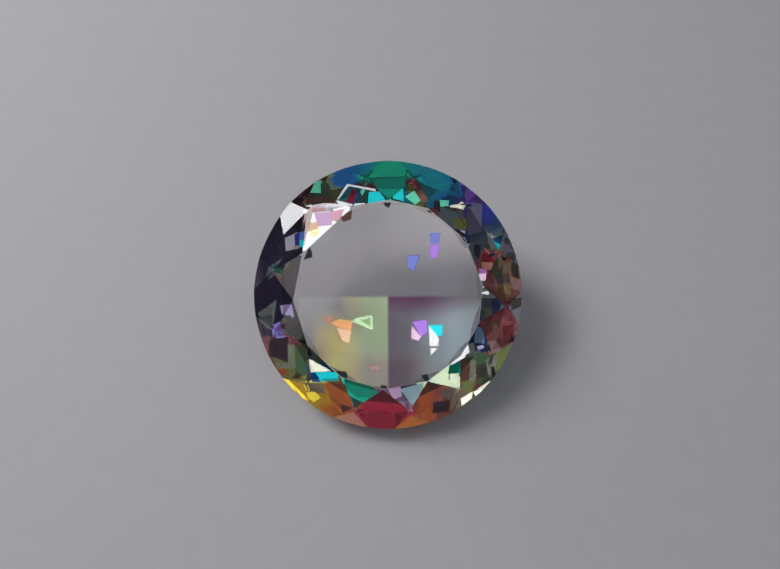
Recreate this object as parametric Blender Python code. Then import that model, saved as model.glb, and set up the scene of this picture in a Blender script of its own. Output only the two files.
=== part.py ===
"""A round faceted rainbow quartz: one solid stone, lying on its back.

Frame: metres, +Z up, origin under the middle of the stone on the surface it
lies on. The stone is cut in its own upright frame, where +Z points out of
the table and z = 0 is the middle of the girdle, and is then tipped on to the
flat at the front of its back. Azimuths run clockwise from +Y, in degrees.
"""

from math import atan, cos, radians, sin, tan

import bmesh
import bpy
from mathutils import Matrix, Vector

NAME = "rainbow_quartz"
COLLECTION = "rainbow_quartz_crystal"

# Driving dimensions, in metres and degrees.
DIAMETER = 0.040
GIRDLE_BAND = 0.0006  # height of the girdle where a kite facet ends on it
CROWN_HEIGHT = 0.0047  # from the girdle up to the table
TABLE_CORNER_RADIUS = 0.0135
STAR_POINT_RADIUS = 0.0172  # where two kites, a star and a break facet meet
BREAK_DROP = 0.00015  # how far a break facet runs on into the girdle
BACK_SLOPE = 43.0  # steep facets under the girdle
BACK_POINT_RADIUS = 0.0168  # inner point of a break facet on the back
CONE_RIM_RADIUS = 0.0137  # where a steep back facet meets the shallow cone
CONE_SLOPE = 24.0  # shallow middle of the back, and so how far the stone tips
FLAT_DEPTH = 0.0002  # how deep the resting flat is ground into the cone
FLAT_AZIMUTH = 180.0
CULET_RADIUS = 0.0005  # small flat on the cone's tip
SIDES = 104  # flats around the girdle and the cone

# The crown is cut by eye: thirteen kites, not quite evenly spaced.
KITE_AZIMUTHS = (1, 25, 55, 85, 107.5, 130.5, 156, 183.5, 210, 238, 267, 296, 339)
# The widest gap has three facets of its own in place of a break: azimuth, slope, and how far
# each runs on below the girdle's top.
WIDE_GAP = 40.0
WIDE_GAP_FACETS = ((297.0, 42.4, 0.00043), (299.8, 40.8, 0.00029), (321.0, 43.0, -0.0001))

# Worked out from the driving dimensions.
RADIUS = DIAMETER / 2
GIRDLE_TOP = GIRDLE_BAND / 2
GIRDLE_BOTTOM = -GIRDLE_BAND / 2
TABLE_Z = GIRDLE_TOP + CROWN_HEIGHT
KITE_SLOPE = atan(CROWN_HEIGHT / (RADIUS - TABLE_CORNER_RADIUS))
CONE_RIM_Z = GIRDLE_BOTTOM - (RADIUS - CONE_RIM_RADIUS) * tan(radians(BACK_SLOPE))
CULET_Z = CONE_RIM_Z - CONE_RIM_RADIUS * tan(radians(CONE_SLOPE))

SNAP = 1e-5  # a cut this near a corner goes through the corner
UP = Vector((0, 0, 1))


def outward(azimuth):
    """Horizontal unit vector at an azimuth."""
    return Vector((sin(radians(azimuth)), cos(radians(azimuth)), 0))


def gaps():
    """(middle azimuth, half width) of the gap after each kite."""
    following = KITE_AZIMUTHS[1:] + (KITE_AZIMUTHS[0] + 360,)
    return [((a + b) / 2, (b - a) / 2) for a, b in zip(KITE_AZIMUTHS, following)]


def grind(bm, point, normal):
    """Takes off everything beyond a plane and closes the cut with one facet."""
    everything = bm.verts[:] + bm.edges[:] + bm.faces[:]
    bmesh.ops.bisect_plane(
        bm, geom=everything, dist=SNAP, plane_co=point, plane_no=normal, clear_outer=True
    )
    rim = [edge for edge in bm.edges if edge.is_boundary]
    if rim:
        bmesh.ops.contextual_create(bm, geom=rim)


def grind_slope(bm, azimuth, slope, radius, z, side):
    """Grinds a facet through one point: side is 1 for the crown, -1 for the back."""
    normal = outward(azimuth) * sin(slope) + UP * (side * cos(slope))
    grind(bm, outward(azimuth) * radius + UP * z, normal)


def blank():
    """A round blank: a straight wall with a shallow cone under it."""
    bm = bmesh.new()
    rim_z = CULET_Z + RADIUS * tan(radians(CONE_SLOPE))
    bmesh.ops.create_cone(
        bm, cap_ends=True, segments=SIDES, radius1=RADIUS, radius2=RADIUS, depth=TABLE_Z - rim_z
    )
    bmesh.ops.translate(bm, verts=bm.verts, vec=UP * ((TABLE_Z + rim_z) / 2))
    base = min(bm.faces, key=lambda face: face.calc_center_median().z)
    culet = bmesh.ops.poke(bm, faces=[base])["verts"][0]
    culet.co.z = CULET_Z
    return bm


def cut_crown(bm):
    """Kites, then the break facets and the widest gap's own, then the stars around the table."""
    for azimuth in KITE_AZIMUTHS:
        grind_slope(bm, azimuth, KITE_SLOPE, TABLE_CORNER_RADIUS, TABLE_Z, 1)
    foot = GIRDLE_TOP - BREAK_DROP
    stars = []
    for middle, half in gaps():
        fall = RADIUS - STAR_POINT_RADIUS * cos(radians(half))
        point_z = GIRDLE_TOP + fall * tan(KITE_SLOPE)
        if 2 * half < WIDE_GAP:
            slope = atan((point_z - foot) / (RADIUS - STAR_POINT_RADIUS))
            grind_slope(bm, middle, slope, RADIUS, foot, 1)
        point = outward(middle) * STAR_POINT_RADIUS + UP * point_z
        corners = [outward(middle + turn) * TABLE_CORNER_RADIUS + UP * TABLE_Z for turn in (-half, half)]
        stars.append((point, (corners[0] - point).cross(corners[1] - point).normalized()))
    for azimuth, slope, drop in WIDE_GAP_FACETS:
        grind_slope(bm, azimuth, radians(slope), RADIUS, GIRDLE_TOP - drop, 1)
    for point, normal in stars:
        grind(bm, point, normal if normal.z > 0 else -normal)


def cut_back(bm):
    """Steep facets under the kites, break facets between them, the culet and the resting flat."""
    steep = radians(BACK_SLOPE)
    for azimuth in KITE_AZIMUTHS:
        grind_slope(bm, azimuth, steep, RADIUS, GIRDLE_BOTTOM, -1)
    foot = GIRDLE_BOTTOM + BREAK_DROP
    for middle, half in gaps():
        fall = RADIUS - BACK_POINT_RADIUS * cos(radians(half))
        point_z = GIRDLE_BOTTOM - fall * tan(steep)
        slope = atan((foot - point_z) / (RADIUS - BACK_POINT_RADIUS))
        grind_slope(bm, middle, slope, RADIUS, foot, -1)
    lean = radians(CONE_SLOPE)
    grind(bm, UP * (CULET_Z + CULET_RADIUS * tan(lean)), -UP)
    grind_slope(bm, FLAT_AZIMUTH, lean, 0, CULET_Z + FLAT_DEPTH / cos(lean), -1)


def lay_down(bm):
    """Tips the stone on to its flat and puts the origin under its middle."""
    bmesh.ops.rotate(bm, verts=bm.verts, cent=(0, 0, 0), matrix=Matrix.Rotation(radians(CONE_SLOPE), 3, "X"))
    for axis in range(3):
        reach = [vert.co[axis] for vert in bm.verts]
        shift = Vector((0, 0, 0))
        shift[axis] = -min(reach) if axis == 2 else -(min(reach) + max(reach)) / 2
        bmesh.ops.translate(bm, verts=bm.verts, vec=shift)


def quartz_material():
    """Clear quartz."""
    material = bpy.data.materials.new("clear_quartz")
    material.use_nodes = True
    shader = material.node_tree.nodes["Principled BSDF"]
    shader.inputs["Base Color"].default_value = (0.93, 0.94, 0.96, 1)
    shader.inputs["Metallic"].default_value = 0.0
    shader.inputs["Roughness"].default_value = 0.02
    shader.inputs["IOR"].default_value = 1.544
    shader.inputs["Transmission Weight"].default_value = 1.0
    return material


def build():
    for old in list(bpy.data.objects):
        bpy.data.objects.remove(old)
    bm = blank()
    cut_crown(bm)
    cut_back(bm)
    bmesh.ops.remove_doubles(bm, verts=bm.verts, dist=SNAP)
    bmesh.ops.recalc_face_normals(bm, faces=bm.faces)
    lay_down(bm)
    mesh = bpy.data.meshes.new(NAME)
    bm.to_mesh(mesh)
    bm.free()
    mesh.materials.append(quartz_material())
    stone = bpy.data.objects.new(NAME, mesh)
    collection = bpy.data.collections.new(COLLECTION)
    bpy.context.scene.collection.children.link(collection)
    collection.objects.link(stone)


build()
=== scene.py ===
"""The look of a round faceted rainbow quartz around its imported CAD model.

Lengths are in metres, except in the tables of coloured pieces, which are in
millimetres. The stone is cut in its own upright frame, where +Z points out of
the table, z = 0 is the middle of the girdle and azimuths run clockwise from
+Y in degrees, and is then tipped on to its resting flat.
"""

from math import atan, cos, pi, radians, sin, tan

import bmesh
import bpy
from mathutils import Matrix, Vector


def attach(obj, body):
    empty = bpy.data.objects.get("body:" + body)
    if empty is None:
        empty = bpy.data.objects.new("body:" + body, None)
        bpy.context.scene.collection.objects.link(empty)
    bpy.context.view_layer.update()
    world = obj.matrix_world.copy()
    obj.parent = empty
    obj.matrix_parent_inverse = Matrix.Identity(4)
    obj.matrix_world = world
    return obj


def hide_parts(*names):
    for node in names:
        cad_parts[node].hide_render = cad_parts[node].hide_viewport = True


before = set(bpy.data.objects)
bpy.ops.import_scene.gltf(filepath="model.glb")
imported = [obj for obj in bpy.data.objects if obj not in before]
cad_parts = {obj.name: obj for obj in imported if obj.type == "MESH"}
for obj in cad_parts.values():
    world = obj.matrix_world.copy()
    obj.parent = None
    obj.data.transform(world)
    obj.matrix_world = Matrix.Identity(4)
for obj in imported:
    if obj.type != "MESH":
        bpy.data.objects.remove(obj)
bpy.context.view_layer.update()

# ---------------------------------------------------------------- stone's cut
DIAMETER = 0.040
GIRDLE_BAND = 0.0006
CROWN_HEIGHT = 0.0047
TABLE_CORNER_RADIUS = 0.0135
STAR_POINT_RADIUS = 0.0172
BREAK_DROP = 0.00015
BACK_SLOPE = 43.0
BACK_POINT_RADIUS = 0.0168
CONE_RIM_RADIUS = 0.0137
CONE_SLOPE = 24.0
FLAT_DEPTH = 0.0002
FLAT_AZIMUTH = 180.0
CULET_RADIUS = 0.0005
KITE_AZIMUTHS = (1, 25, 55, 85, 107.5, 130.5, 156, 183.5, 210, 238, 267, 296, 339)
# The widest gap has three facets of its own in place of a break: azimuth, slope, and how far
# each runs on below the girdle's top.
WIDE_GAP = 40.0
WIDE_GAP_FACETS = ((297.0, 42.4, 0.00043), (299.8, 40.8, 0.00029), (321.0, 43.0, -0.0001))
SIDES = 416  # finer than the CAD model, so that the girdle and the cone look round
WORN_WIDTH = 0.00008  # rubbed edges between facets
WORN_LEAST_EDGE = 0.0008  # shorter edges stay sharp
WORN_LEAST_ANGLE = 0.2  # and so do flatter ones, in radians
CONE_NORMAL_Z = -0.5  # round faces that face further down than this are the cone's

RADIUS = DIAMETER / 2
GIRDLE_TOP = GIRDLE_BAND / 2
GIRDLE_BOTTOM = -GIRDLE_BAND / 2
TABLE_Z = GIRDLE_TOP + CROWN_HEIGHT
KITE_SLOPE = atan(CROWN_HEIGHT / (RADIUS - TABLE_CORNER_RADIUS))
CONE_RIM_Z = GIRDLE_BOTTOM - (RADIUS - CONE_RIM_RADIUS) * tan(radians(BACK_SLOPE))
CULET_Z = CONE_RIM_Z - CONE_RIM_RADIUS * tan(radians(CONE_SLOPE))
LEAN = radians(CONE_SLOPE)
CENTRE = Vector((0, 0, -CULET_Z * cos(LEAN) - FLAT_DEPTH))  # middle of the girdle, lying down

SNAP = 1e-5  # a cut this near a corner goes through the corner
MERGE = 2e-6  # corners this near each other become one
UP = Vector((0, 0, 1))
ROUND, CROWN, STEEP, BREAK, FLAT, WORN = range(6)  # kinds of face


def outward(azimuth):
    """Horizontal unit vector at an azimuth."""
    return Vector((sin(radians(azimuth)), cos(radians(azimuth)), 0))


def gaps():
    """(middle azimuth, half width) of the gap after each kite."""
    following = KITE_AZIMUTHS[1:] + (KITE_AZIMUTHS[0] + 360,)
    return [((a + b) / 2, (b - a) / 2) for a, b in zip(KITE_AZIMUTHS, following)]


def grind(bm, point, normal, kind):
    """Takes off everything beyond a plane and closes the cut with one facet."""
    everything = bm.verts[:] + bm.edges[:] + bm.faces[:]
    bmesh.ops.bisect_plane(
        bm, geom=everything, dist=SNAP, plane_co=point, plane_no=normal, clear_outer=True
    )
    rim = [edge for edge in bm.edges if edge.is_boundary]
    if rim:
        tag = bm.faces.layers.int["kind"]
        for face in bmesh.ops.contextual_create(bm, geom=rim)["faces"]:
            face[tag] = kind


def grind_slope(bm, azimuth, slope, radius, z, side, kind):
    """Grinds a facet through one point: side is 1 for the crown, -1 for the back."""
    normal = outward(azimuth) * sin(slope) + UP * (side * cos(slope))
    grind(bm, outward(azimuth) * radius + UP * z, normal, kind)


def blank():
    """A round blank: a straight wall with a shallow cone under it."""
    bm = bmesh.new()
    tag = bm.faces.layers.int.new("kind")
    rim_z = CULET_Z + RADIUS * tan(LEAN)
    bmesh.ops.create_cone(
        bm, cap_ends=True, segments=SIDES, radius1=RADIUS, radius2=RADIUS, depth=TABLE_Z - rim_z
    )
    bmesh.ops.translate(bm, verts=bm.verts, vec=UP * ((TABLE_Z + rim_z) / 2))
    base = min(bm.faces, key=lambda face: face.calc_center_median().z)
    culet = bmesh.ops.poke(bm, faces=[base])["verts"][0]
    culet.co.z = CULET_Z
    for face in bm.faces:
        face[tag] = ROUND
    table = max(bm.faces, key=lambda face: face.calc_center_median().z)
    table[tag] = CROWN
    return bm


def table_corner(azimuth):
    return outward(azimuth) * TABLE_CORNER_RADIUS + UP * TABLE_Z


def cut_crown(bm):
    """Kites, then the break facets and the widest gap's own, then the stars around the table."""
    for azimuth in KITE_AZIMUTHS:
        grind_slope(bm, azimuth, KITE_SLOPE, TABLE_CORNER_RADIUS, TABLE_Z, 1, CROWN)
    foot = GIRDLE_TOP - BREAK_DROP
    stars = []
    for middle, half in gaps():
        fall = RADIUS - STAR_POINT_RADIUS * cos(radians(half))
        point_z = GIRDLE_TOP + fall * tan(KITE_SLOPE)
        if 2 * half < WIDE_GAP:
            slope = atan((point_z - foot) / (RADIUS - STAR_POINT_RADIUS))
            grind_slope(bm, middle, slope, RADIUS, foot, 1, CROWN)
        point = outward(middle) * STAR_POINT_RADIUS + UP * point_z
        one, other = (table_corner(middle + turn) for turn in (-half, half))
        stars.append((point, (one - point).cross(other - point).normalized()))
    for azimuth, slope, drop in WIDE_GAP_FACETS:
        grind_slope(bm, azimuth, radians(slope), RADIUS, GIRDLE_TOP - drop, 1, CROWN)
    for point, normal in stars:
        grind(bm, point, normal if normal.z > 0 else -normal, CROWN)


def cut_back(bm):
    """Steep facets under the kites, break facets between them, the culet and the resting flat."""
    steep = radians(BACK_SLOPE)
    for azimuth in KITE_AZIMUTHS:
        grind_slope(bm, azimuth, steep, RADIUS, GIRDLE_BOTTOM, -1, STEEP)
    foot = GIRDLE_BOTTOM + BREAK_DROP
    for middle, half in gaps():
        fall = RADIUS - BACK_POINT_RADIUS * cos(radians(half))
        point_z = GIRDLE_BOTTOM - fall * tan(steep)
        slope = atan((foot - point_z) / (RADIUS - BACK_POINT_RADIUS))
        grind_slope(bm, middle, slope, RADIUS, foot, -1, BREAK)
    grind(bm, UP * (CULET_Z + CULET_RADIUS * tan(LEAN)), -UP, CROWN)
    grind_slope(bm, FLAT_AZIMUTH, LEAN, 0, CULET_Z + FLAT_DEPTH / cos(LEAN), -1, FLAT)


def wear_edges(bm):
    """Rubs a narrow flat along every long edge between two facets."""
    tag = bm.faces.layers.int["kind"]
    bm.normal_update()
    cuts = []
    for edge in bm.edges:
        one, other = edge.link_faces
        angle = one.normal.angle(other.normal)
        rounded = {ROUND, FLAT} & {one[tag], other[tag]}
        if rounded or edge.calc_length() < WORN_LEAST_EDGE or angle < WORN_LEAST_ANGLE:
            continue
        normal = (one.normal + other.normal).normalized()
        depth = WORN_WIDTH / 2 * tan(angle / 2)
        middle = (edge.verts[0].co + edge.verts[1].co) / 2
        cuts.append((middle - normal * depth, normal))
    for point, normal in cuts:
        grind(bm, point, normal, WORN)


def stone_mesh():
    """The finished stone, lying on its flat, with what each face is as attributes."""
    bm = blank()
    cut_crown(bm)
    cut_back(bm)
    bmesh.ops.remove_doubles(bm, verts=bm.verts, dist=SNAP)
    bmesh.ops.recalc_face_normals(bm, faces=bm.faces)
    wear_edges(bm)
    bmesh.ops.remove_doubles(bm, verts=bm.verts, dist=MERGE)
    bmesh.ops.recalc_face_normals(bm, faces=bm.faces)
    tag = bm.faces.layers.int["kind"]
    names = ("steep", "back_break", "cone", "worn", "girdle")
    masks = {name: bm.faces.layers.float.new(name) for name in names}
    for face in bm.faces:
        is_round, below = face[tag] == ROUND, face.normal.z < CONE_NORMAL_Z
        face.smooth = is_round
        face[masks["steep"]] = face[tag] == STEEP
        face[masks["back_break"]] = face[tag] == BREAK
        face[masks["worn"]] = face[tag] == WORN
        face[masks["cone"]] = face[tag] == FLAT or (is_round and below)
        face[masks["girdle"]] = is_round and not below
    for edge in bm.edges:
        one, other = edge.link_faces
        same_side = (one.normal.z < CONE_NORMAL_Z) == (other.normal.z < CONE_NORMAL_Z)
        edge.smooth = one[tag] == other[tag] == ROUND and same_side
    bmesh.ops.rotate(bm, verts=bm.verts, cent=(0, 0, 0), matrix=Matrix.Rotation(LEAN, 3, "X"))
    bmesh.ops.translate(bm, verts=bm.verts, vec=CENTRE)
    mesh = bpy.data.meshes.new("faceted_quartz")
    bm.to_mesh(mesh)
    bm.free()
    return mesh


# -------------------------------------------------------------------- colours
# What the coating lets through, and the colours of the painted highlights (white, cream) and painted
# shade (ink, black) laid into it.
HUES = {
    "green": (0.005, 0.45, 0.26),
    "teal": (0.005, 0.31, 0.36),
    "cyan": (0.01, 0.82, 0.88),
    "mint": (0.16, 0.85, 0.55),
    "blue": (0.01, 0.14, 0.42),
    "royal": (0.04, 0.05, 0.40),
    "navy": (0.03, 0.06, 0.16),
    "violet": (0.20, 0.07, 0.45),
    "lilac": (0.60, 0.50, 0.85),
    "mauve": (0.50, 0.30, 0.50),
    "crimson": (0.50, 0.008, 0.045),
    "maroon": (0.25, 0.045, 0.05),
    "salmon": (0.62, 0.24, 0.18),
    "brown": (0.25, 0.11, 0.07),
    "rose": (0.45, 0.13, 0.14),
    "rust": (0.50, 0.09, 0.015),
    "orange": (0.70, 0.17, 0.015),
    "amber": (0.80, 0.42, 0.015),
    "gold": (0.97, 0.75, 0.04),
    "cream": (0.98, 0.98, 0.76),
    "ivory": (0.73, 0.84, 0.56),
    "powder": (0.42, 0.54, 0.82),
    "olive": (0.24, 0.28, 0.06),
    "moss": (0.07, 0.17, 0.06),
    "deep": (0.02, 0.12, 0.10),
    "amethyst": (0.46, 0.21, 0.80),
    "periwinkle": (0.19, 0.23, 0.66),
    "blush": (0.92, 0.62, 0.80),
    "apricot": (0.95, 0.42, 0.16),
    "pistachio": (0.66, 0.88, 0.50),
    "azure": (0.15, 0.35, 0.85),
    "peach": (0.95, 0.60, 0.35),
    "grey": (0.32, 0.36, 0.34),
    "slate": (0.14, 0.19, 0.21),
    "smoke": (0.26, 0.24, 0.30),
    "ink": (0.03, 0.02, 0.05),
    "white": (1.00, 0.98, 1.00),
    "jade": (0.00, 0.75, 0.50),
    "orchid": (0.80, 0.30, 0.80),
    "fuchsia": (0.95, 0.25, 0.50),
    "primrose": (0.95, 0.88, 0.35),
    "iris": (0.40, 0.32, 0.92),
    "tan": (0.50, 0.32, 0.24),
    "khaki": (0.26, 0.20, 0.12),
    "bark": (0.06, 0.05, 0.04),
    "umber": (0.16, 0.11, 0.10),
    "ochre": (0.33, 0.22, 0.09),
    "dusty": (0.42, 0.24, 0.22),
    "sienna": (0.26, 0.10, 0.08),
    "russet": (0.16, 0.05, 0.035),
    "ember": (0.50, 0.11, 0.02),
    "lichen": (0.28, 0.30, 0.20),
    "steel": (0.22, 0.36, 0.55),
    "emerald": (0.00, 0.55, 0.36),
    "thistle": (0.75, 0.45, 0.75),
    "lagoon": (0.38, 0.55, 0.60),
    "heather": (0.20, 0.18, 0.28),
    "ash": (0.45, 0.42, 0.42),
    "pewter": (0.30, 0.29, 0.30),
    "fern": (0.30, 0.48, 0.18),
    "coral": (0.75, 0.30, 0.24),
    "dove": (0.64, 0.60, 0.68),
    "stone": (0.30, 0.28, 0.25),
    "fog": (0.20, 0.21, 0.19),
    "black": (0.03, 0.006, 0.015),
}
# Hues of the coating around the stone, as (azimuth, hue), with painted shade and painted highlights
# among them. Those seen through the kites and the break facets blend from one to the next, and those
# seen through the stars change at once.
KITE_HUES = (
    (0, "green"), (12, "green"), (14, "teal"), (25, "teal"), (33, "blue"), (39, "blue"),
    (41, "violet"), (45, "royal"), (51, "royal"), (57, "navy"), (64, "slate"), (69, "moss"),
    (71, "moss"), (76, "brown"), (83, "salmon"), (87, "brown"), (95, "brown"), (97, "maroon"),
    (107, "rose"), (118, "maroon"), (120, "moss"), (130, "moss"), (134, "maroon"),
    (142, "maroon"), (144, "ember"), (151, "ember"), (155, "maroon"), (160, "ember"),
    (169, "rust"), (171, "crimson"), (180, "crimson"), (196, "crimson"), (198, "rust"),
    (206, "orange"), (213, "amber"), (223, "gold"), (225, "olive"), (236, "olive"),
    # Painted shade: ink from 253 to 312, where the kites show only dark surroundings.
    (241, "maroon"), (251, "maroon"), (253, "ink"), (312, "ink"), (314, "brown"), (320, "brown"),
    (323, "moss"), (332, "olive"), (336, "blue"), (346, "blue"), (349, "green"), (360, "green"),
)
STAR_HUES = (
    (0, "deep"), (3, "teal"), (12, "olive"), (21, "maroon"), (28, "slate"), (41, "smoke"),
    (48, "lilac"), (54, "slate"), (66, "rose"), (88, "grey"), (96, "slate"), (108, "navy"),
    (119, "slate"), (129, "green"), (142, "ivory"), (157, "moss"), (160, "slate"), (172, "mauve"),
    (184, "green"), (209, "ink"), (213, "blue"), (221, "slate"), (236, "moss"), (240, "pewter"),
    # Painted highlight: white from 294 to 338, where the stars throw back the window light.
    (262, "smoke"), (268, "pewter"), (294, "white"), (338, "white"), (341, "slate"),
    (349, "deep"), (360, "deep"),
)
BREAK_HUES = (
    (0, "green"), (13, "teal"), (40, "violet"), (70, "slate"), (96, "smoke"), (119, "olive"),
    (136, "olive"), (150, "brown"), (170, "orange"), (180, "orange"), (197, "salmon"),
    # Painted shade: ink from 258 to 306, as for the kites.
    (215, "amber"), (232, "amber"), (243, "rose"), (258, "ink"), (306, "ink"), (325, "maroon"),
    (345, "blue"), (360, "green"),
)
# Pieces of one colour in the coating, as (hue, corners): three or four, clockwise as seen from
# the table, in upright millimetres. These are seen through the stars.
# Pale pieces here, such as white and cream, are painted highlights; ink and black ones are painted
# shade.
STAR_SHARDS = (
    ("white", (-7.4, 11.9), (-10.9, 12.8), (-6.9, 13.4), (-4.3, 12.6)),
    ("deep", (-4.8, 11.6), (-4.3, 13.7), (-2.4, 13.8), (-2.5, 11.7)),
    ("mint", (-4.1, 14.6), (-3.1, 14), (-3.5, 13.2)),
    ("cyan", (-2.5, 11.5), (-2.4, 13.6), (-0.9, 13.6), (0.2, 11.8)),
    ("maroon", (-1.9, 14.3), (-3.8, 15.8), (-0.9, 14.6), (0.1, 13.1)),
    ("cyan", (0.4, 12.4), (0.3, 13.5), (1.9, 14.5), (1.9, 12.1)),
    ("mint", (2.3, 12.8), (3.7, 13.9), (4.5, 12.2), (3.7, 11.5)),
    ("maroon", (3.1, 15.4), (4, 16.3), (5, 14.4), (4.2, 13.7)),
    ("salmon", (4.8, 11.9), (3.9, 13.6), (4.9, 14.3), (5.7, 12.2)),
    ("ink", (5.8, 11.5), (6, 12.9), (6.9, 12.9), (6.7, 11)),
    ("cream", (8.5, 12.1), (8.4, 12.8), (11.2, 12.3), (11.2, 11.8)),
    ("olive", (9.6, 8.4), (8.5, 9.9), (11.1, 10.3), (10.8, 8)),
    ("slate", (8.4, 10), (8, 11.7), (10.8, 11.6), (10.7, 10.2)),
    ("ink", (11.3, 5.4), (11.3, 6.9), (12.5, 6.8), (12, 4.7)),
    ("crimson", (12.5, 4.2), (12.7, 5.5), (14.5, 5.3), (14.6, 4.3)),
    ("coral", (12.6, 3.1), (12.5, 4.1), (14.3, 4.2), (14.4, 3.1)),
    ("orchid", (12, 2.1), (12, 3.1), (13.3, 3), (13.2, 2.1)),
    ("rose", (12.6, 1.2), (12.4, 1.9), (13.4, 2.3), (13.5, 1.4)),
    ("grey", (11.7, -0.3), (11.5, 1.7), (14.1, 0.6), (14.5, -0.4)),
    ("slate", (12.7, -4), (11.5, -0.4), (13.8, -0.5), (13.6, -3.1)),
    ("navy", (13.7, -3.1), (13.9, -0.5), (15.9, -0.5), (15.3, -2.5)),
    ("azure", (11.8, -7.2), (11.1, -4.8), (12, -4.2), (13, -7.1)),
    ("navy", (10.1, -6), (11.3, -3.2), (13, -4.7), (13.7, -8.8)),
    ("grey", (9.5, -8.5), (9.3, -6.6), (11, -6.4), (11.5, -8.6)),
    ("white", (8.3, -8.8), (7.8, -8.9), (10, -6.7), (10.3, -7.8)),
    ("ivory", (5, -11.4), (4.4, -11), (7.8, -9), (7.5, -12.2)),
    ("green", (8, -11.3), (7.9, -9), (9.9, -8.6), (9.6, -10.9)),
    ("lagoon", (1.4, -12.3), (4.8, -11.3), (4.9, -13), (3.3, -15.2)),
    ("thistle", (0.4, -14.1), (-0.7, -11.6), (1.3, -11.7), (1.6, -13.5)),
    ("emerald", (-5.5, -13.6), (-6, -11.3), (-0.7, -12.8), (-3.3, -15.2)),
    ("deep", (-4.6, -15.6), (-5.3, -13.8), (-3.3, -14.9)),
    ("salmon", (-6.8, 10.1), (-7.8, 10.8), (-6, 11.4), (-5.8, 10.3)),
    ("ink", (8.8, 8.3), (9.5, 8.2), (11, 7.3), (10, 6.9)),
    ("white", (-3.5, 14.4), (-3.5, 14.7), (-1.5, 14.1), (-1.5, 13.8)),
    ("lilac", (-13.8, -2.7), (-14.1, -1), (-12.7, -0.9), (-12.4, -2.7)),
    ("rose", (-15.2, -5.7), (-14.7, -5.2), (-11.4, -6.5), (-11.6, -6.9)),
    ("smoke", (-10.7, 11.8), (-10.6, 12.3), (-7.5, 12.3), (-7.4, 11.8)),
    ("orchid", (-9.7, 9.5), (-10.3, 11.6), (-7.8, 11.6), (-7.5, 9.6)),
    ("fuchsia", (-7.5, 10.2), (-7.8, 11.7), (-5.6, 12), (-6.3, 10.6)),
    ("apricot", (-11.2, 8.8), (-11.3, 10.1), (-9.8, 10.1), (-9.6, 8.7)),
    ("primrose", (-10.9, 7.8), (-10.7, 8.8), (-9.3, 9.1), (-9.7, 7.9)),
    ("powder", (-12.6, 6.3), (-12.6, 7.3), (-11.7, 7.4), (-11.7, 6.4)),
    ("blush", (12, 1.3), (11.9, 2.2), (13.1, 2.4), (13, 1.4)),
    ("white", (11.8, 0.4), (13.1, 0.7), (13.1, 0.5), (14, 0.1)),
    ("lichen", (12.6, -3.4), (12.5, -2), (13.8, -1.9), (13.7, -3.8)),
    ("steel", (11.2, -6.3), (11.1, -3.6), (12.8, -4.4), (12.9, -6.6)),
    ("lilac", (12, -7.5), (11.7, -7), (12.7, -6.9), (12.9, -7.3)),
    ("ivory", (8.4, -12.5), (8.1, -10.5), (9.5, -10.6), (9.4, -12.4)),
    ("stone", (-14.3, 0.9), (-15.4, 4), (-12.8, 4.9), (-12.1, 3.7)),
    ("iris", (-16.2, -5.6), (-16.2, -4.1), (-15, -3.6), (-14.5, -5.4)),
    ("lilac", (-14.6, -2.3), (-14.8, -1.1), (-12.9, -0.8), (-12.5, -2.5)),
    ("stone", (-14.3, -4.9), (-14.9, -2.7), (-13, -2.5), (-12.9, -5.1)),
    ("black", (-11.8, -6.2), (-10.1, -6.5), (-10.3, -7.3), (-9.8, -8.6)),
    ("cream", (-10.6, -10.5), (-10.7, -8.4), (-10.3, -8.5), (-7.4, -10)),
    ("blue", (-10.6, -12.2), (-10.7, -10.6), (-9.4, -10.4), (-9.1, -12)),
    ("cyan", (-9.1, -11.9), (-9.7, -10.5), (-6.2, -10.2), (-6.2, -11.6)),
)
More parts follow.
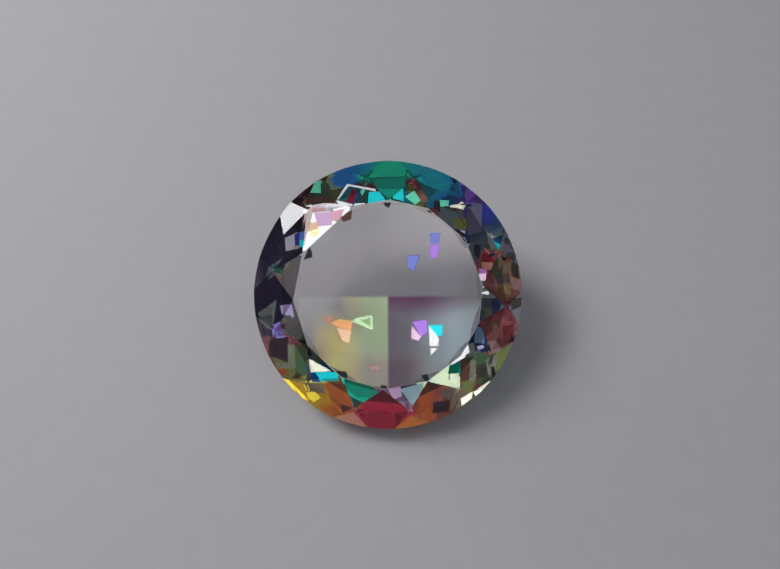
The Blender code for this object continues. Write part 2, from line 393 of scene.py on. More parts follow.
# Seen through the kites. Here too pale pieces, with the thin white strips along facet edges, are
# painted highlights, and ink and black ones painted shade.
KITE_SHARDS = (
    ("white", (-7.4, 10.4), (-10.9, 11.7), (-6.9, 12.2), (-4.3, 11.1)),
    ("teal", (-6.5, 12.5), (-5.4, 14.9), (-4.3, 14.3), (-4.7, 11.8)),
    ("crimson", (-5.3, 11.9), (-4.6, 14.2), (-3.9, 13.8), (-4.3, 11.4)),
    ("maroon", (-2.3, 13.9), (-4.1, 15.4), (-1.3, 14.3), (-0.3, 12.7)),
    ("cyan", (0.9, 11.8), (0.7, 13.1), (2.3, 14), (2.4, 11.4)),
    ("maroon", (2.6, 15.2), (3.6, 16.1), (4.5, 14.2), (3.6, 13.4)),
    ("salmon", (4.1, 11.6), (3.3, 13.4), (4.3, 14.1), (5.1, 12)),
    ("ink", (5.9, 10.5), (6.2, 12.1), (7.1, 12.1), (6.9, 9.9)),
    ("mint", (7.1, 10.9), (7.1, 12.3), (8.5, 12.4), (8.2, 11)),
    ("olive", (8.6, 8.3), (7.4, 9.8), (10.3, 10.3), (9.8, 8)),
    ("rose", (11.7, 1.7), (11.4, 2.4), (12.6, 2.8), (12.8, 1.9)),
    ("grey", (9.5, -7.8), (9.1, -5.8), (10.9, -5.7), (11.5, -8)),
    ("white", (7.5, -8.7), (6.9, -8.9), (9.2, -6.7), (9.6, -7.8)),
    ("ink", (-13.6, 13.7), (-11.1, 15.8), (-10.4, 14.3), (-11.5, 12.8)),
    ("brown", (-11.8, 12.5), (-11.8, 13.8), (-8.7, 13.3), (-8.1, 12.1)),
    ("brown", (-11, 12.4), (-11.3, 13.8), (-7.6, 12.9), (-6.7, 11.6)),
    ("mint", (-11, 14.6), (-10.8, 16.6), (-10.1, 16.7), (-10.2, 14.4)),
    ("mint", (-10.5, 14.5), (-10.6, 16.6), (-9.8, 16.6), (-9.5, 14.3)),
    ("moss", (-9.8, 13.6), (-10, 16.2), (-8.4, 16.1), (-8.1, 13.2)),
    ("amber", (-11.6, -15.6), (-11.8, -13.7), (-9.6, -13.3), (-9.9, -15.3)),
    ("rust", (-7.1, -15.2), (-8.5, -11.4), (-6.1, -11.3), (-5.2, -15.5)),
    ("ink", (-12.2, 13.1), (-13.6, 13.7), (-11.1, 15.8), (-10.7, 15)),
    ("mint", (-10.5, 14.5), (-10, 16.6), (-9.7, 14.3)),
    ("mint", (-11, 14.6), (-10.2, 16.7), (-10.3, 14.5)),
    ("brown", (-11.8, 12.6), (-12, 14.1), (-10.8, 14.5), (-10.2, 12.2)),
    ("cream", (12.9, -15), (12.4, -14.2), (14.9, -13), (13.7, -14.5)),
    ("cream", (12.8, -15), (12.3, -14.4), (14.9, -13.2), (13.7, -14.5)),
    ("ink", (-18.3, -5.8), (-18.5, -4.6), (-15, -4.3), (-15.7, -5.6)),
    ("white", (-6.6, 12.6), (-6.8, 12.5), (-5.6, 15.4), (-5.3, 15.1)),
    ("white", (-5.4, 15.1), (-5.5, 15.4), (-3, 14.5), (-3, 14.2)),
    ("ink", (-15.5, 1.8), (-15.7, 3), (-14.6, 1.6), (-14.8, 1.2)),
    ("lilac", (-13.1, -3.2), (-13.4, -1.4), (-11.8, -1.4), (-11.5, -3.2)),
    ("rose", (-15, -5.2), (-14.4, -4.6), (-11, -5.7), (-11.3, -6.1)),
    ("heather", (10.2, 7.5), (10.7, 12.3), (13.7, 13), (12.7, 8.4)),
    ("ash", (14.1, 5.6), (13.7, 8.5), (18.9, 6.3)),
    ("ash", (15, 5.4), (14.6, 8.4), (18.6, 6.1)),
    ("azure", (-11.2, 7.2), (-11.3, 8.5), (-10.1, 8.7), (-10.2, 7.3)),
    ("cyan", (-11.1, 6.2), (-11.3, 7.2), (-10.2, 7.3), (-10.1, 6.2)),
    ("jade", (-1.3, 12), (-2.1, 15.9), (2.5, 16.3), (2.8, 12.7)),
    ("mauve", (16.2, 5.2), (16.2, 6.8), (18.5, 7.5)),
    ("tan", (15.1, 3.6), (14.8, 5.9), (16.4, 6.2), (16.4, 4.5)),
    ("brown", (15.8, 3.8), (16.2, 5), (18.4, 5.5), (18, 4.5)),
    ("brown", (16.3, 4.3), (16.5, 5.4), (18.3, 5.6), (18.1, 4.7)),
    ("khaki", (15.9, 3), (16.1, 4.3), (17.6, 4.5), (17.3, 3.2)),
    ("bark", (17.7, 2.7), (17.9, 4.4), (19.1, 4.5), (19.5, 2.1)),
    ("moss", (14, 2.3), (14, 3.2), (15.5, 3.4), (15.4, 2.5)),
    ("rose", (12.8, 1.9), (12.7, 3.1), (14, 2.4), (13.9, 0.9)),
    ("umber", (14.8, 1.1), (14.2, 2.6), (17.3, 3), (17.5, 1.3)),
    ("ochre", (15.8, -0.1), (15.1, 1.3), (17.8, 1.3), (17.2, -0.2)),
    ("dusty", (18, 0.7), (17.8, 1.8), (19.7, 2.2), (19.8, 0.4)),
    ("white", (11, 0.1), (12.4, 0.7), (12.3, 0.4), (13.4, 0.3)),
    ("bark", (17.5, -2.3), (16.9, -0.8), (19.8, -0.6), (19.8, -1.9)),
    ("sienna", (13.5, -6.6), (12.9, -3.5), (15.2, -3.4), (15.8, -6.4)),
    ("dusty", (14.2, -8.2), (13.2, -6.7), (14.8, -6.7), (16, -7.9)),
    ("maroon", (16.7, -7.2), (15.9, -4.6), (18.3, -4.4), (18.4, -7)),
    ("russet", (9, -11.9), (9.2, -8.5), (10.7, -8.2), (11.2, -12)),
    ("lichen", (11.1, -12.5), (10.7, -8.5), (11.7, -8.8), (12.2, -12.6)),
    ("bark", (12.5, -12), (11.9, -9.7), (14.1, -9.4), (14.7, -11.8)),
    ("lichen", (14.8, -11.8), (14.2, -8.8), (15.8, -8.5), (15.6, -11.1)),
    ("lichen", (14.5, -11.8), (13.6, -8.9), (15.6, -8.6), (15.4, -11.1)),
    ("olive", (9.1, -13.4), (9, -11.9), (12.2, -12.6), (12, -13.9)),
    ("moss", (12.5, -13.1), (13, -12.1), (14.6, -12), (14.3, -13)),
    ("khaki", (9.2, -17), (8.7, -12.7), (9.9, -12.6), (10.3, -16.5)),
    ("khaki", (9.3, -17), (9.4, -12.9), (10.4, -12.8), (10.3, -16.5)),
    ("black", (6.2, -17.1), (6.2, -15), (8.8, -14.9), (8.8, -17.2)),
    ("umber", (7.5, -14.2), (7.1, -12.3), (9.1, -12.4), (9, -14.9)),
    ("rust", (4.5, -17.6), (4, -13.7), (5.8, -13.4), (6, -17)),
    ("dove", (-13.7, 5.9), (-14.2, 8), (-11.7, 8.6), (-11.3, 6)),
    ("royal", (-11.9, 6.5), (-12.3, 8.3), (-11.5, 8.6), (-11.2, 6.6)),
    ("slate", (-16.7, 2.6), (-16.8, 3.6), (-14.4, 4.7), (-15.4, 3)),
    ("ink", (-15.8, 2.9), (-15.3, 3.1), (-14.6, 1.5), (-15.1, 1.3)),
    ("fog", (-18.7, -4.4), (-19.1, -2.7), (-15.1, -0.7), (-15.9, -4.6)),
    ("ink", (-14.6, -3.3), (-14.8, 0), (-14.1, 0), (-13.1, -1)),
    ("iris", (-15.7, -5.9), (-15.8, -4.4), (-14.4, -4), (-13.8, -5.8)),
    ("lilac", (-13.9, -2.7), (-14.2, -1.5), (-12.1, -1.3), (-11.7, -3)),
    ("black", (-17.4, -8.9), (-16.8, -6.1), (-13.3, -5.2), (-14.2, -9.4)),
    ("lichen", (-14.2, -10.3), (-13.6, -6.5), (-12.4, -6.3), (-13, -10.1)),
    ("moss", (-13, -11.6), (-12.1, -6.7), (-10, -6.4), (-11, -11.3)),
    ("black", (-11.5, -5.4), (-9.7, -5.6), (-10, -6.4), (-9.5, -7.8)),
    ("lichen", (-16.4, -10.7), (-16.6, -9.9), (-12.7, -9.5), (-12.9, -10.3)),
    ("rust", (-15.9, -11.7), (-16.5, -10.9), (-14.7, -10.7), (-14.7, -11.7)),
    ("blue", (-10.7, -11.6), (-10.7, -9.8), (-9.4, -9.5), (-9.2, -11.3)),
    ("cyan", (-9.2, -11.2), (-9.8, -9.7), (-6.3, -9.2), (-6.3, -10.7)),
    ("gold", (-11, -15.5), (-12.1, -14.3), (-10.7, -13.4), (-9.8, -14.5)),
    ("ember", (-7.4, -17), (-8.7, -11.7), (-6.4, -11.3), (-5.3, -15.4)),
    ("khaki", (-11.2, -13.5), (-11.5, -11.9), (-8.9, -11.6), (-8.7, -13.5)),
)
# Painted glints seen through the table: coloured highlights of the window light, laid on as pieces.
TABLE_GLINTS = (
    ("apricot", (-9.2, -4.3), (-7.5, -3.8), (-5.6, -4.1), (-5.8, -5.9)),
    ("peach", (-7.1, -7.1), (-8, -5.1), (-5.8, -5.7), (-6.1, -7.5)),
    ("salmon", (-9.6, -4.2), (-9.5, -3.4), (-8.7, -3.3), (-8.7, -4.3)),
    ("dusty", (-2.8, -11.8), (-3.2, -11), (-1.3, -10.7), (-1.4, -11.7)),
    ("amethyst", (5.1, -6.6), (3.8, -4.3), (6, -4), (6.1, -5.9)),
    ("blush", (3.6, -6.9), (3.7, -5), (5.1, -6.6), (4.7, -7.2)),
    ("cyan", (7.2, -6.5), (6.2, -4.8), (8.4, -4.8), (8.3, -6.4)),
    ("white", (6.4, -8), (6.3, -5), (7.8, -6.9), (7.7, -8)),
    ("white", (6.5, -9.4), (6.5, -8.3), (7.5, -8.4)),
    ("periwinkle", (6.7, 7.9), (6.6, 9.4), (8.1, 9.4), (7.9, 7.9)),
    ("amethyst", (6.7, 5.7), (6.6, 7.6), (8, 7.7), (7.6, 5.6)),
    ("periwinkle", (4, 3.6), (3.1, 4.3), (3, 6), (5, 6.1)),
    ("fern", (-3.8, -4.6), (-5.1, -4), (-2.6, -3.4), (-2.5, -5.3)),
    ("pistachio", (-5.7, -4.2), (-5.1, -3.7), (-2.6, -3.2), (-2.6, -3.5)),
    ("pistachio", (-5.6, -4.2), (-4.8, -3.9), (-2.6, -5.2), (-2.7, -5.5)),
    ("pistachio", (-2.7, -5.4), (-2.7, -3.3), (-2.5, -3.3), (-2.4, -5.4)),
)
# Painted shade: dark pieces at the tips of the kites, seen through the edge of the table.
TIP_SHADE_SHARDS = (
    ("brown", (-6.8, 11.2), (-7.4, 12), (-5.4, 13), (-5.6, 11.6)),
    ("ink", (-12.9, 5.4), (-12, 7.5), (-11.6, 6.5), (-11.6, 5.8)),
    ("ink", (-0.4, 13.6), (-0.6, 14.1), (0.6, 14.1), (0.2, 13.3)),
    ("ink", (5.9, 12.8), (7, 12.9), (6.6, 12.4)),
    ("ink", (10.9, 9.1), (11.5, 8.9), (12.8, 7.9), (12.1, 7.6)),
    ("ink", (5.5, -13.3), (5, -12.4), (5.9, -12.2), (6.4, -13.3)),
    ("ink", (-8.9, -11.6), (-6.6, -11.7), (-6.2, -12.9), (-7.2, -12.4)),
    ("ink", (-1.1, -14.2), (-1.3, -13.8), (-0.3, -13.9), (-0.3, -14.3)),
    ("ink", (-7.4, -12.2), (-7.7, -11.8), (-6.4, -11.9), (-6.3, -12.4)),
)
# Seen through the break facets. The pale cream and gold pieces are painted highlights, the ink ones
# painted shade.
BREAK_SHARDS = (
    ("ink", (-13.6, 13.7), (-11.1, 15.8), (-10.4, 14.3), (-11.5, 12.8)),
    ("brown", (-11, 12.4), (-11.3, 13.8), (-7.6, 12.9), (-6.7, 11.6)),
    ("mint", (-10.5, 14.5), (-10.6, 16.6), (-9.8, 16.6), (-9.5, 14.3)),
    ("ink", (-12.2, 13.1), (-13.6, 13.7), (-11.1, 15.8), (-10.7, 15)),
    ("brown", (-11.8, 12.6), (-12, 14.1), (-10.8, 14.5), (-10.2, 12.2)),
    ("cream", (10.8, -16.5), (10.3, -14.9), (12.1, -14.1), (12.1, -15.5)),
    ("cream", (12.9, -15), (12.4, -14.2), (14.9, -13), (13.7, -14.5)),
    ("gold", (-15.7, -12.3), (-14.3, -12.5), (-13.7, -14.6)),
    ("gold", (-12.9, -15.2), (-13.5, -13.9), (-11.9, -15.4)),
    ("ink", (-18.3, -5.8), (-18.5, -4.6), (-15, -4.3), (-15.7, -5.6)),
    ("ash", (14.1, 5.6), (13.7, 8.5), (18.9, 6.3)),
    ("mauve", (16.2, 5.2), (16.2, 6.8), (18.5, 7.5)),
    ("brown", (15.8, 3.8), (16.2, 5), (18.4, 5.5), (18, 4.5)),
    ("bark", (17.5, -2.3), (16.9, -0.8), (19.8, -0.6), (19.8, -1.9)),
    ("lichen", (14.5, -11.8), (13.6, -8.9), (15.6, -8.6), (15.4, -11.1)),
    ("khaki", (9.2, -17), (8.7, -12.7), (9.9, -12.6), (10.3, -16.5)),
    ("gold", (-14.6, -12.3), (-12.1, -15), (-13, -15)),
)

# ---------------------------------------------------------------------- glass
QUARTZ_IOR = 1.544
CLEAR = (1, 1, 1, 1)
BODY_COLOUR = (0.93, 0.95, 1.0, 1)
ABSORPTION = 3.0  # per metre, of what the body colour lacks
WORN_ROUGHNESS = 0.3
GIRDLE_ROUGHNESS = 0.18

# Ramps over Layer Weight's Facing, which is 0 where a ray meets a facet straight on. The crown's
# facet that a ray came through settles how flatly it meets the back. So these ramps tell the
# colours seen through the kites, the stars and the table apart.
STEEP_KIND = ((0.0, 1), (0.3, 0), (0.351, 0), (0.356, 1), (1.0, 1))  # 0 the stars', 1 the kites'
STEEP_COATED = (
    (0.0, 1), (0.14, 1), (0.15, 0), (0.23, 0), (0.24, 0.2), (0.30, 0.2), (0.32, 1), (1.0, 1),
)
STEEP_IN_WINDOW = ((0.0, 0), (0.14, 0), (0.15, 1), (0.23, 1), (0.24, 0), (1.0, 0))
BREAK_COATED = ((0.0, 1), (0.2, 1), (0.3, 0), (0.36, 0), (0.40, 1), (1.0, 1))
CONE_KIND = ((0.0, 0), (0.145, 0), (0.152, 1), (1.0, 1))
CONE_COATED = (
    (0.0, 1), (0.03, 1), (0.05, 0), (0.0885, 0), (0.096, 1), (0.26, 1), (0.285, 0), (1.0, 0),
)
CONE_IN_WINDOW = ((0.0, 1), (0.0885, 1), (0.096, 0), (1.0, 0))
CONE_COATED_FROM = (0.0095, 0.0105)  # the cone's middle is clear

CELLS_PER_METRE = 520.0  # cells that shift the kites' hues a little, each by its own amount
CELL_SHIFT = 0.016  # in turns
STAR_SLANT = 7.0  # turns per metre by which the stars' hues lean
MILLIMETRE = 0.001
SHARD_BLUR = 0.00006  # width of a coloured piece's soft edge
TABLE_GLINT_BLUR = 0.00009

# What is seen through the table is tinted by quarters, as painted coloured light and shade: by more
# than 1 for painted light where it gathers light, by less for painted shade.
LIME_TINT = (1.82, 2.08, 1.34, 1)
STRAW_TINT = (2.68, 2.34, 1.08, 1)
SAND_TINT = (1.80, 1.78, 1.52, 1)
SKY_TINT = (1.86, 2.16, 2.24, 1)
PLUM_TINT = (0.58, 0.06, 0.44, 1)
# Painted shade and painted light over the rear half, darker to the left and lighter to the right and
# near the middle.
REAR_PAINTED_SHADE = (0.85, 0.83, 0.85, 1)
REAR_PAINTED_LIGHT = (1.15, 1.12, 1.17, 1)
SIDE_PLUM = 0.38
MOST_PLUM = 0.85
NEAR_PAINTED_LIGHT = 0.7
# Where each tint starts and where it is full, in upright metres: across is x, along is y.
FRONT_ALONG = (-0.0001, -0.0006)
REAR_ALONG = (-0.0006, -0.0001)
PAINTED_LIGHT_ACROSS = (-0.003, 0.009)
NEAR_PAINTED_LIGHT_ALONG = (0.005, 0.001)
NEAR_PAINTED_LIGHT_ACROSS = (-0.006, -0.001)
LEFT_ACROSS = (0.0, -0.0002)
LEFT_END_ACROSS = (-0.0120, -0.0085)
LEFT_END_ALONG = (-0.002, -0.0065)
LIME_ACROSS = (-0.0078, -0.0035)
SAND_ALONG = (-0.007, -0.011)
SKY_ACROSS = (0.003, 0.010)
SKY_ALONG = (-0.0003, -0.003)
RIGHT_ACROSS = (0.0, 0.0002)
TOP_PLUM_ALONG = (-0.0045, -0.0005)
TOP_PLUM_ACROSS = (0.0125, 0.006)
SIDE_PLUM_ACROSS = (0.0065, 0.0005)

# Pale pieces are painted highlights: inside the stone they scatter light, and more of it than reaches
# them, which stands for the window light that they throw at the viewer.
STAR_PALE = (0.3, 0.8)
KITE_PALE = (0.64, 0.7)
MOST_PAINTED_GLOW = 0.9
PAINTED_GLOW_GAIN = 4.8
BREAK_PAINTED_GLOW_GAIN = 8.5


class Nodes:
    """Short ways to add linked nodes to one tree."""

    def __init__(self, tree):
        self.tree = tree
        self.tree.nodes.clear()

    def add(self, kind, settings=None, inputs=None):
        node = self.tree.nodes.new(kind)
        for key, value in (settings or {}).items():
            setattr(node, key, value)
        for key, value in (inputs or {}).items():
            if isinstance(value, bpy.types.NodeSocket):
                self.tree.links.new(value, node.inputs[key])
            else:
                node.inputs[key].default_value = value
        return node

    def math(self, operation, *values, clamp=False):
        settings = {"operation": operation, "use_clamp": clamp}
        return self.add("ShaderNodeMath", settings, dict(enumerate(values))).outputs[0]

    def times(self, *values):
        result = values[0]
        for value in values[1:]:
            result = self.math("MULTIPLY", result, value)
        return result

    def blend(self, factor, one, other):
        """One number where factor is 0, the other where it is 1."""
        return self.math("MULTIPLY_ADD", factor, self.math("SUBTRACT", other, one), one)

    def span(self, value, start, full):
        """0 on one side of start, 1 beyond full, even between them."""
        inputs = {"Value": value, "From Min": start, "From Max": full}
        return self.add("ShaderNodeMapRange", inputs=inputs).outputs[0]

    def mask(self, name):
        return self.add("ShaderNodeAttribute", {"attribute_name": name}).outputs["Fac"]

    def mix(self, factor, one, other):
        settings = {"data_type": "RGBA"}
        return self.add("ShaderNodeMix", settings, {0: factor, 6: one, 7: other}).outputs[2]

    def ramp(self, factor, stops):
        node = self.add("ShaderNodeValToRGB", inputs={"Fac": factor})
        elements = node.color_ramp.elements
        while len(elements) < len(stops):
            elements.new(0.5)
        for element, (position, colour) in zip(elements, stops):
            element.position = position
            element.color = (*colour, 1)
        return node.outputs["Color"]

    def grey_ramp(self, factor, stops):
        return self.ramp(factor, [(position, (value,) * 3) for position, value in stops])

    def hues_around(self, turn, stops, steps=False):
        """Hues around the stone, one ramp for each half turn because a ramp holds 32 stops."""
        halves = []
        for start in (0, 180):
            half_stops = [stop for stop in stops if start <= stop[0] <= start + 180]
            if steps:
                before = [hue for azimuth, hue in stops if azimuth <= start]
                half_stops.insert(0, (start, before[-1]))
            factor = self.math("SUBTRACT", self.math("MULTIPLY", turn, 2.0), start / 180)
            placed = [((azimuth - start) / 180, HUES[hue]) for azimuth, hue in half_stops]
            half = self.ramp(factor, placed)
            half.node.color_ramp.interpolation = "CONSTANT" if steps else "LINEAR"
            halves.append(half)
        return self.mix(self.math("GREATER_THAN", turn, 0.5), *halves)

    def shards(self, place, colour, pieces, blur):
        """Lays pieces of colour over another, and says where they are."""
        covered = 0.0
        for hue, *corners in pieces:
            inputs = {"Place": place, "Colour": colour, "Covered": covered, "Hue": (*HUES[hue], 1)}
            inputs["Sharpness"] = 0.5 / blur
            for number, edge in enumerate(shard_edges(corners)):
                inputs[f"Edge {number}"] = edge
            settings = {"node_tree": bpy.data.node_groups["shard"]}
            colour, covered = self.add("ShaderNodeGroup", settings, inputs).outputs
        return colour, covered

    def paleness(self, colour, dark, pale):
        """0 for a colour darker than dark, 1 for one paler than pale."""
        brightness = self.add("ShaderNodeRGBToBW", inputs={0: colour}).outputs[0]
        return self.span(brightness, dark, pale)


def shard_edges(corners):
    """A piece's four edges. The dot product of one with (x, y, 1) says how far inside it a place is."""
    edges = []
    for (x, y), (next_x, next_y) in zip(corners, corners[1:] + corners[:1]):
        along = Vector((next_x - x, next_y - y)).normalized()
        edges.append((along.y, -along.x, (along.x * y - along.y * x) * MILLIMETRE))
    return (edges + edges[-1:])[:4]  # a piece of three corners has its last edge twice


def shard_group():
    """Lays one piece of colour, with three or four straight edges, over another colour."""
    tree = bpy.data.node_groups.new("shard", "ShaderNodeTree")
    kinds = {
        "Place": "Vector", "Colour": "Color", "Covered": "Float", "Hue": "Color", "Sharpness": "Float",
    }
    kinds.update({f"Edge {number}": "Vector" for number in range(4)})
    for name, kind in kinds.items():
        tree.interface.new_socket(name, in_out="INPUT", socket_type=f"NodeSocket{kind}")
    tree.interface.new_socket("Colour", in_out="OUTPUT", socket_type="NodeSocketColor")
    tree.interface.new_socket("Covered", in_out="OUTPUT", socket_type="NodeSocketFloat")
    n = Nodes(tree)
    given = n.add("NodeGroupInput").outputs
    depths = []
    for number in range(4):
        inputs = {0: given["Place"], 1: given[f"Edge {number}"]}
        edge = n.add("ShaderNodeVectorMath", {"operation": "DOT_PRODUCT"}, inputs)
        depths.append(edge.outputs["Value"])
    nearest = depths[0]
    for depth in depths[1:]:
        nearest = n.math("MINIMUM", nearest, depth)
    inside = n.math("MULTIPLY_ADD", nearest, given["Sharpness"], 0.5, clamp=True)
    colour = n.mix(n.math("GREATER_THAN", inside, 0.0), given["Colour"], given["Hue"])
    covered = n.math("MAXIMUM", given["Covered"], inside)
    n.add("NodeGroupOutput", inputs={"Colour": colour, "Covered": covered})


def upright_place(n):
    """Across and along the stone as it stood when it was cut."""
    place = n.add("ShaderNodeTexCoord").outputs["Object"]
    moved = n.add("ShaderNodeVectorMath", {"operation": "SUBTRACT"}, {0: place, 1: CENTRE}).outputs[0]
    inputs = {"Vector": moved, "Angle": -LEAN}
    upright = n.add("ShaderNodeVectorRotate", {"rotation_type": "X_AXIS"}, inputs).outputs[0]
    return n.add("ShaderNodeSeparateXYZ", inputs={0: upright}).outputs[:2]


def coating_hues(n, seen_flat, turn, radius):
    """Hues of the coating, with its painted highlights and shade, as seen through the kites, the stars
    and the break facets.
    """
    inputs = {"Vector": seen_flat, "Scale": CELLS_PER_METRE}
    cells = n.add("ShaderNodeTexVoronoi", {"voronoi_dimensions": "2D"}, inputs).outputs["Color"]
    cell = n.math("SUBTRACT", n.add("ShaderNodeSeparateColor", inputs={0: cells}).outputs[0], 0.5)
    shifted = n.math("FRACT", n.math("ADD", turn, n.times(cell, CELL_SHIFT)))
    kites, _ = n.shards(seen_flat, n.hues_around(shifted, KITE_HUES), KITE_SHARDS, SHARD_BLUR)
    slant = n.times(n.math("SUBTRACT", radius, TABLE_CORNER_RADIUS), STAR_SLANT)
    leaning = n.math("FRACT", n.math("ADD", turn, slant))
    stars = n.hues_around(leaning, STAR_HUES, steps=True)
    stars, _ = n.shards(seen_flat, stars, STAR_SHARDS, SHARD_BLUR)
    breaks, _ = n.shards(seen_flat, n.hues_around(turn, BREAK_HUES), BREAK_SHARDS, SHARD_BLUR)
    return kites, stars, breaks


def paint_window_light(n, colour, x, y, cone_window):
    """Paints light and shade into the back as seen through the table, the rear half first and then the
    front.
    """
    rear = n.times(cone_window, n.span(y, *REAR_ALONG))
    near = n.times(n.span(y, *NEAR_PAINTED_LIGHT_ALONG), n.span(x, *NEAR_PAINTED_LIGHT_ACROSS), NEAR_PAINTED_LIGHT)
    painted_light = n.math("MAXIMUM", n.span(x, *PAINTED_LIGHT_ACROSS), near)
    colour = n.mix(rear, colour, n.mix(painted_light, REAR_PAINTED_SHADE, REAR_PAINTED_LIGHT))
    front = n.times(cone_window, n.span(y, *FRONT_ALONG))
    lime = n.span(x, *LIME_ACROSS)
    reach = n.math("MAXIMUM", lime, n.span(y, *LEFT_END_ALONG))
    left = n.times(front, n.span(x, *LEFT_ACROSS), n.span(x, *LEFT_END_ACROSS), reach)
    middle_tint = n.mix(n.span(y, *SAND_ALONG), LIME_TINT, SAND_TINT)
    colour = n.mix(left, colour, n.mix(lime, STRAW_TINT, middle_tint))
    sky = n.times(front, n.span(x, *SKY_ACROSS), n.span(y, *SKY_ALONG))
    colour = n.mix(sky, colour, SKY_TINT)
    top = n.times(n.span(y, *TOP_PLUM_ALONG), n.span(x, *TOP_PLUM_ACROSS))
    side = n.times(n.span(x, *SIDE_PLUM_ACROSS), SIDE_PLUM)
    plum = n.times(front, n.span(x, *RIGHT_ACROSS), n.math("MAXIMUM", top, side), MOST_PLUM)
    return n.mix(plum, colour, PLUM_TINT)


def quartz_material():
    """Clear quartz with a rainbow coating on its back facets, and painted highlights and shade laid
    into the coating's colour.
    """
    shard_group()
    material = bpy.data.materials.new("coated_quartz")
    material.use_nodes = True
    n = Nodes(material.node_tree)
    x, y = upright_place(n)
    seen_flat = n.add("ShaderNodeCombineXYZ", inputs={0: x, 1: y, 2: 1.0}).outputs[0]
    turn = n.math("FRACT", n.math("DIVIDE", n.math("ARCTAN2", x, y), 2 * pi))
    radius = n.math("SQRT", n.math("ADD", n.math("POWER", x, 2.0), n.math("POWER", y, 2.0)))
    kites, stars, breaks = coating_hues(n, seen_flat, turn, radius)

    facing = n.add("ShaderNodeLayerWeight", inputs={"Blend": 0.5}).outputs["Facing"]
    steep, back_break, cone = n.mask("steep"), n.mask("back_break"), n.mask("cone")
    steep_kind, cone_kind = n.grey_ramp(facing, STEEP_KIND), n.grey_ramp(facing, CONE_KIND)
    on_steep = n.times(steep, n.grey_ramp(facing, STEEP_COATED))
    on_break = n.times(back_break, n.grey_ramp(facing, BREAK_COATED))
    on_cone = n.times(cone, n.grey_ramp(facing, CONE_COATED), n.span(radius, *CONE_COATED_FROM))
    colour = n.mix(on_steep, CLEAR, n.mix(steep_kind, stars, kites))
    colour = n.mix(on_break, colour, breaks)
    colour = n.mix(on_cone, colour, n.mix(cone_kind, stars, kites))

    cone_window = n.times(cone, n.grey_ramp(facing, CONE_IN_WINDOW))
    in_window = n.math("ADD", cone_window, n.times(steep, n.grey_ramp(facing, STEEP_IN_WINDOW)))
    colour = paint_window_light(n, colour, x, y, cone_window)
    # Painted glints from the table pieces and painted shade at the kites' tips, in the window.
    table_glint_hue, on_table_glint = n.shards(seen_flat, CLEAR, TABLE_GLINTS, TABLE_GLINT_BLUR)
    tip_shade_hue, on_tip_shade = n.shards(seen_flat, CLEAR, TIP_SHADE_SHARDS, SHARD_BLUR)
    on_table_glint, on_tip_shade = n.times(on_table_glint, in_window), n.times(on_tip_shade, in_window)
    colour = n.mix(on_tip_shade, n.mix(on_table_glint, colour, table_glint_hue), tip_shade_hue)

    # Painted highlight: pale pieces glow brighter than the light that reaches them.
    star_pale, kite_pale = n.paleness(stars, *STAR_PALE), n.paleness(kites, *KITE_PALE)
    cone_painted_glow = n.times(on_cone, n.blend(cone_kind, star_pale, kite_pale))
    steep_painted_glow = n.times(on_steep, n.blend(steep_kind, star_pale, kite_pale))
    break_painted_glow = n.times(on_break, n.paleness(breaks, *KITE_PALE))
    painted_glow = n.math("ADD", n.math("ADD", cone_painted_glow, steep_painted_glow), break_painted_glow)
    painted_glow = n.math("MAXIMUM", painted_glow, n.times(on_table_glint, n.math("SUBTRACT", 1.0, on_tip_shade)))
    inside = n.add("ShaderNodeNewGeometry").outputs["Backfacing"]
    painted_glow_hue = n.mix(n.math("GREATER_THAN", on_table_glint, 0.0), colour, table_glint_hue)
    gain = n.math("MULTIPLY_ADD", back_break, BREAK_PAINTED_GLOW_GAIN - PAINTED_GLOW_GAIN, PAINTED_GLOW_GAIN)
    scaled = n.add("ShaderNodeVectorMath", {"operation": "SCALE"}, {0: painted_glow_hue, "Scale": gain})

    worn = n.times(n.mask("worn"), WORN_ROUGHNESS)
    roughness = n.math("ADD", worn, n.times(n.mask("girdle"), GIRDLE_ROUGHNESS))
    inputs = {"Color": colour, "Roughness": roughness, "IOR": QUARTZ_IOR}
    glass = n.add("ShaderNodeBsdfGlass", inputs=inputs).outputs[0]
    painted_glow_shader = n.add("ShaderNodeBsdfDiffuse", inputs={"Color": scaled.outputs[0]}).outputs[0]
    inputs = {0: n.times(painted_glow, MOST_PAINTED_GLOW, inside), 1: glass, 2: painted_glow_shader}
    coated = n.add("ShaderNodeMixShader", inputs=inputs).outputs[0]
    # Plain glass where nothing is coated spares the renderer the coating's nodes there.
    inputs = {"Color": CLEAR, "Roughness": roughness, "IOR": QUARTZ_IOR}
    plain = n.add("ShaderNodeBsdfGlass", inputs=inputs).outputs[0]
    on_back = n.math("ADD", n.math("ADD", steep, back_break), cone)
    surface = n.add("ShaderNodeMixShader", inputs={0: on_back, 1: plain, 2: coated}).outputs[0]
    inputs = {"Color": BODY_COLOUR, "Density": ABSORPTION}
    volume = n.add("ShaderNodeVolumeAbsorption", inputs=inputs).outputs[0]
    n.add("ShaderNodeOutputMaterial", inputs={"Surface": surface, "Volume": volume})
    return material


# ---------------------------------------------------------------------- stage
FLOOR_HALF = 1.5
FLOOR_GAP = 0.00005  # keeps the floor clear of the resting flat
FLOOR_DARK = (0.51, 0.495, 0.51, 1)
FLOOR_LIGHT = (0.545, 0.53, 0.545, 1)
FLOOR_SPECKS = 900.0
FLOOR_ROUGHNESS = 0.7

ROOM_COLOUR = (0.80, 0.86, 0.95, 1)
# The room's brightness rises from the horizon to overhead.
HORIZON = 0.1
HORIZON_BRIGHTNESS = 0.07
OVERHEAD_BRIGHTNESS = 0.32

# The photograph's frame, in pixels of its 780 pixel width.
FRAME_WIDTH = 780
FOCAL = 641.0
STONE_SPAN = 267.0
STONE_DROP, STONE_ASIDE = 10.0, 2.0  # how far off the frame's middle the stone sits
SENSOR_WIDTH = 36.0
CLIP_START = 0.001


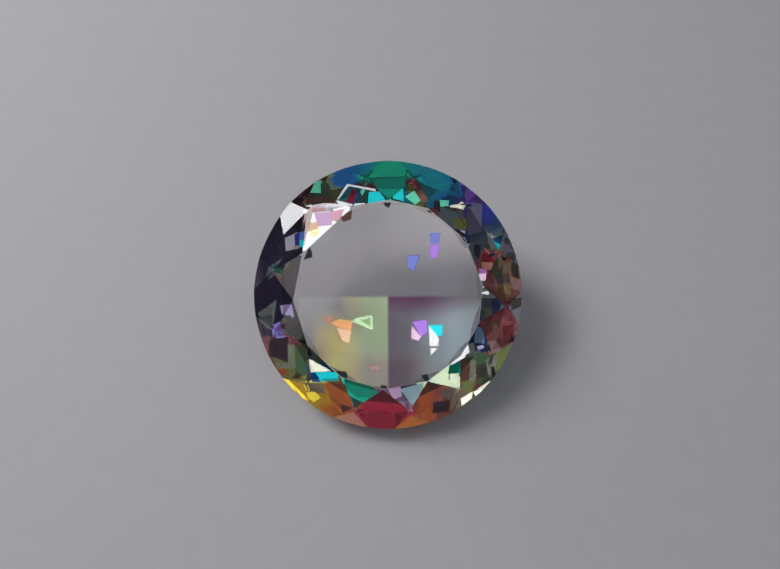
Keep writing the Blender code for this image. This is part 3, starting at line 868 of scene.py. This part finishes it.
def direction(azimuth, elevation):
    """Unit vector from the stone towards an azimuth and an elevation, in degrees."""
    return outward(azimuth) * cos(radians(elevation)) + UP * sin(radians(elevation))


def soft_light(name, azimuth, elevation, distance, size, watts, colour):
    """A rectangular card of light aimed at the stone."""
    light = bpy.data.lights.new(name, "AREA")
    light.shape = "RECTANGLE"
    light.size, light.size_y = size
    light.energy = watts
    light.color = colour
    holder = bpy.data.objects.new(name, light)
    bpy.context.scene.collection.objects.link(holder)
    holder.location = CENTRE + direction(azimuth, elevation) * distance
    holder.rotation_euler = (-direction(azimuth, elevation)).to_track_quat("-Z", "Y").to_euler()
    holder.visible_camera = False
    return holder


def add_lights():
    """Two windows, a light that gives the shadow on the floor, and a soft card overhead."""
    for window in (
        soft_light("high_window", 296, 53, 0.60, (0.24, 0.24), 1.0, (1.0, 0.98, 0.96)),
        soft_light("low_window", 300, 10, 0.60, (0.12, 0.055), 0.23, (0.96, 0.96, 1.0)),
    ):
        # The windows show on the crown, but no picture of them shows through the stone.
        window.visible_transmission = False
    side_light = soft_light("side_light", 300, 44, 0.45, (0.16, 0.16), 0.6, (1.0, 0.98, 0.98))
    side_light.visible_glossy = side_light.visible_transmission = False
    overhead = soft_light("overhead", 168, 70, 0.45, (0.75, 0.75), 0.42, (0.95, 0.98, 1.0))
    overhead.visible_diffuse = False


def add_room():
    """A soft dome of light, brighter overhead than at the horizon."""
    world = bpy.data.worlds.new("room")
    bpy.context.scene.world = world
    world.use_nodes = True
    n = Nodes(world.node_tree)
    place = n.add("ShaderNodeTexCoord").outputs["Generated"]
    height = n.add("ShaderNodeSeparateXYZ", inputs={0: place}).outputs["Z"]
    inputs = {"Value": height, "From Min": HORIZON}
    inputs.update({"To Min": HORIZON_BRIGHTNESS, "To Max": OVERHEAD_BRIGHTNESS})
    brightness = n.add("ShaderNodeMapRange", inputs=inputs).outputs[0]
    inputs = {"Color": ROOM_COLOUR, "Strength": brightness}
    background = n.add("ShaderNodeBackground", inputs=inputs).outputs[0]
    n.add("ShaderNodeOutputWorld", inputs={"Surface": background})


def floor_material():
    """Plain pale board, faintly uneven."""
    material = bpy.data.materials.new("pale_floor")
    material.use_nodes = True
    n = Nodes(material.node_tree)
    inputs = {"Scale": FLOOR_SPECKS, "Detail": 4.0}
    noise = n.add("ShaderNodeTexNoise", inputs=inputs).outputs["Fac"]
    inputs = {"Base Color": n.mix(noise, FLOOR_DARK, FLOOR_LIGHT), "Roughness": FLOOR_ROUGHNESS}
    shader = n.add("ShaderNodeBsdfPrincipled", inputs=inputs).outputs[0]
    n.add("ShaderNodeOutputMaterial", inputs={"Surface": shader})
    return material


def add_floor():
    mesh = bpy.data.meshes.new("floor")
    corners = [(x * FLOOR_HALF, y * FLOOR_HALF, 0) for x, y in ((-1, -1), (1, -1), (1, 1), (-1, 1))]
    mesh.from_pydata(corners, [], [(0, 1, 2, 3)])
    mesh.materials.append(floor_material())
    floor = bpy.data.objects.new("floor", mesh)
    floor.location.z = -FLOOR_GAP
    bpy.context.scene.collection.objects.link(floor)


def add_camera():
    """Looks square at the table, from the photograph's height and distance."""
    elevation = radians(90 - CONE_SLOPE)
    pitch = elevation - atan(STONE_DROP / FOCAL)
    data = bpy.data.cameras.new("camera")
    data.sensor_width = SENSOR_WIDTH
    data.lens = FOCAL / FRAME_WIDTH * SENSOR_WIDTH
    data.clip_start = CLIP_START
    camera = bpy.data.objects.new("camera", data)
    bpy.context.scene.collection.objects.link(camera)
    reach = DIAMETER * FOCAL / STONE_SPAN
    camera.location = CENTRE + Vector((0, -cos(elevation), sin(elevation))) * reach
    camera.rotation_euler = (pi / 2 - pitch, 0, -atan(STONE_ASIDE / FOCAL) / cos(pitch))
    bpy.context.scene.camera = camera


stone = bpy.data.objects.new("faceted_quartz", stone_mesh())
bpy.context.scene.collection.objects.link(stone)
stone.data.materials.append(quartz_material())
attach(stone, "root")
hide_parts("rainbow_quartz")

add_room()
add_floor()
add_lights()
add_camera()

scene = bpy.context.scene
scene.view_settings.view_transform = "Standard"
scene.cycles.use_denoising = True
scene.cycles.max_bounces = 24
scene.cycles.transmission_bounces = 20
scene.cycles.glossy_bounces = 16
